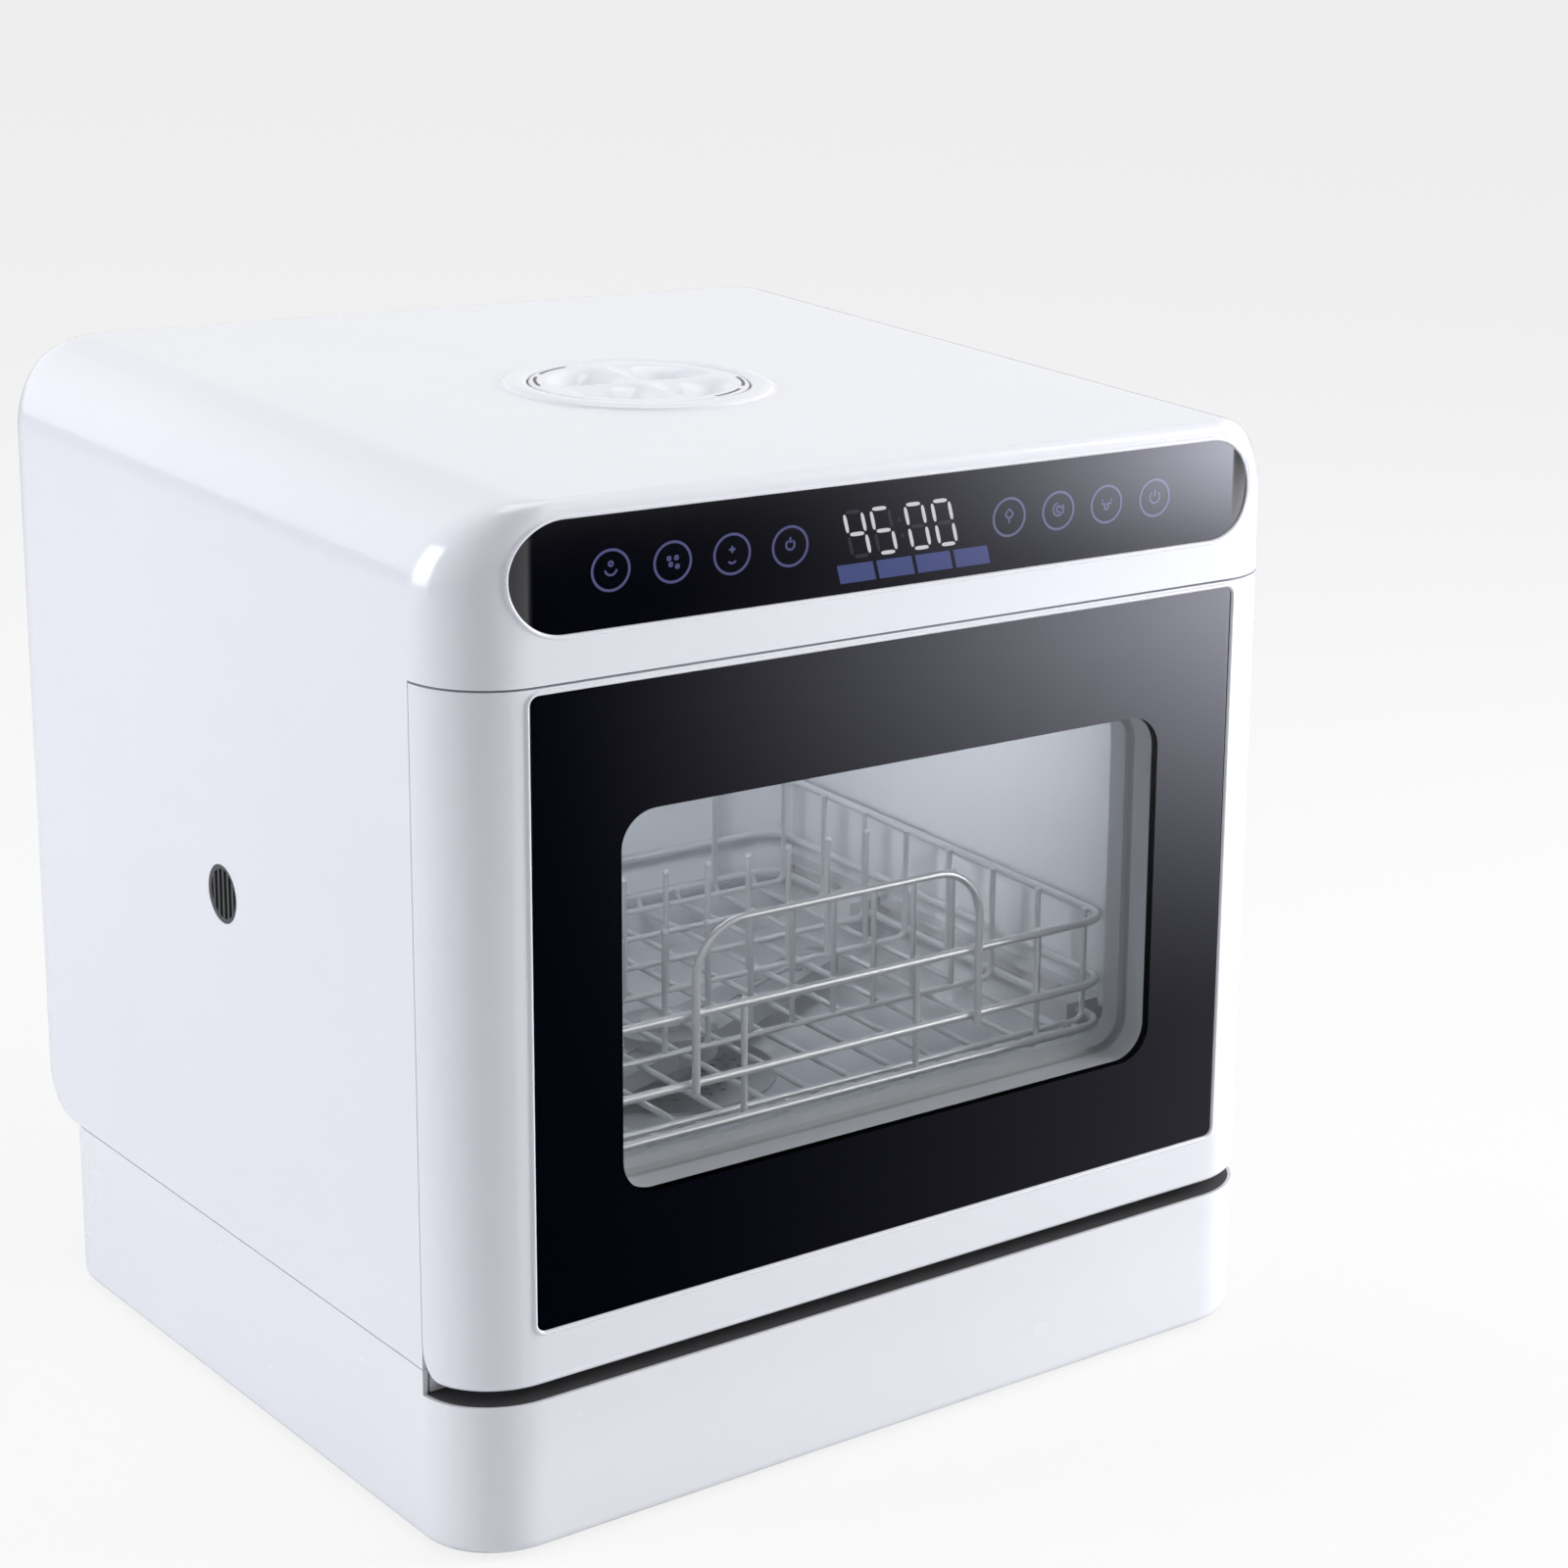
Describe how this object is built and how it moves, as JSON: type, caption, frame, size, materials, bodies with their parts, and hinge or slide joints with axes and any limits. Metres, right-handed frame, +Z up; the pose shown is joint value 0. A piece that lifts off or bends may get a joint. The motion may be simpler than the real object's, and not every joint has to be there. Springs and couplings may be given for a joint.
{
  "type": "countertop dishwasher",
  "caption": "White compact countertop dishwasher with a black glass drop-down door, wire rack, spray arms, touch panel and round water filler cap on top.",
  "frame": {"origin": "on the standing surface, under the middle of the body's footprint", "axes": "+Z up, -Y towards the door, +X to the right of a person facing the door"},
  "size_m": [0.42, 0.412, 0.448],
  "materials": {
    "white_plastic": "gloss",
    "base_plastic": "satin gloss",
    "chamber_plastic": "satin",
    "inner_plastic": "matte",
    "arm_plastic": "satin",
    "dark_plastic": "matte",
    "board_green": "satin",
    "black_glass": "gloss",
    "door_glass": "clear, grey tint",
    "inner_glass": "clear",
    "steel": "satin",
    "rack_steel": "satin",
    "grey_rubber": "matte",
    "black_rubber": "matte"
  },
  "bodies": {
    "machine": {"outer_shell": "white_plastic", "rear_cover": "white_plastic", "base_tray": "base_plastic", "front_frame": "white_plastic", "wash_chamber": "chamber_plastic", "door_seal": "grey_rubber", "control_glass": "black_glass", "panel_carrier": "dark_plastic", "display_module": "dark_plastic", "control_board": "board_green", "air_grille": "dark_plastic", "drying_blower": "dark_plastic", "filler_collar": "white_plastic", "filler_duct": "inner_plastic", "water_tank": "inner_plastic", "power_board": "board_green", "runner_left": "inner_plastic", "runner_right": "inner_plastic", "spray_stub_lower": "inner_plastic", "spray_stub_upper": "inner_plastic", "sump": "inner_plastic", "filter_plate": "steel", "filter_cup": "steel", "wash_pump": "dark_plastic", "drain_pump": "dark_plastic", "flow_heater": "steel", "feed_pipe": "inner_plastic", "pump_hose": "black_rubber", "tank_hose": "black_rubber", "drain_hose": "black_rubber", "water_inlet": "inner_plastic", "drain_spigot": "dark_plastic", "cord_gland": "black_rubber", "hinge_brackets": "steel", "hinge_pins": "steel", "latch_catch": "dark_plastic", "feet": "black_rubber", "screws": "steel"},
    "door": {"door_frame": "white_plastic", "door_glass": "door_glass", "glass_border": "black_glass", "door_liner": "inner_plastic", "inner_pane": "inner_glass", "hinge_arms": "steel", "latch_tongue": "steel", "door_screws": "steel"},
    "rack": {"rack_rails": "rack_steel", "rack_wires": "rack_steel", "rack_tines": "rack_steel", "rack_glides": "inner_plastic"},
    "lower_arm": {"spray_arm_lower": "arm_plastic"},
    "upper_arm": {"spray_arm_upper": "arm_plastic"},
    "cap": {"filler_cap": "white_plastic", "cap_seal": "black_rubber"}
  },
  "joints": [
    {"name": "door_hinge", "type": "hinge", "parent": "machine", "child": "door", "pos_m": [0, -0.189, 0.0918], "axis": [1, 0, 0], "range_deg": [0, 90]},
    {"name": "rack_slide", "type": "slide", "parent": "machine", "child": "rack", "axis": [0, -1, 0], "range_m": [0, 0.107]},
    {"name": "lower_arm_spin", "type": "hinge", "parent": "machine", "child": "lower_arm", "pos_m": [0, -0.0143, 0.1265], "axis": [0, 0, 1], "continuous": true},
    {"name": "upper_arm_spin", "type": "hinge", "parent": "machine", "child": "upper_arm", "pos_m": [0, -0.0143, 0.3313], "axis": [0, 0, 1], "continuous": true},
    {"name": "cap_turn", "type": "hinge", "parent": "machine", "child": "cap", "pos_m": [-0.015, -0.019, 0.44], "axis": [0, 0, 1], "range_deg": [0, 90]}
  ],
  "couplings": [
    {"joint": "rack_slide", "follows": "door_hinge", "m_per_rad": 0.068}
  ]
}
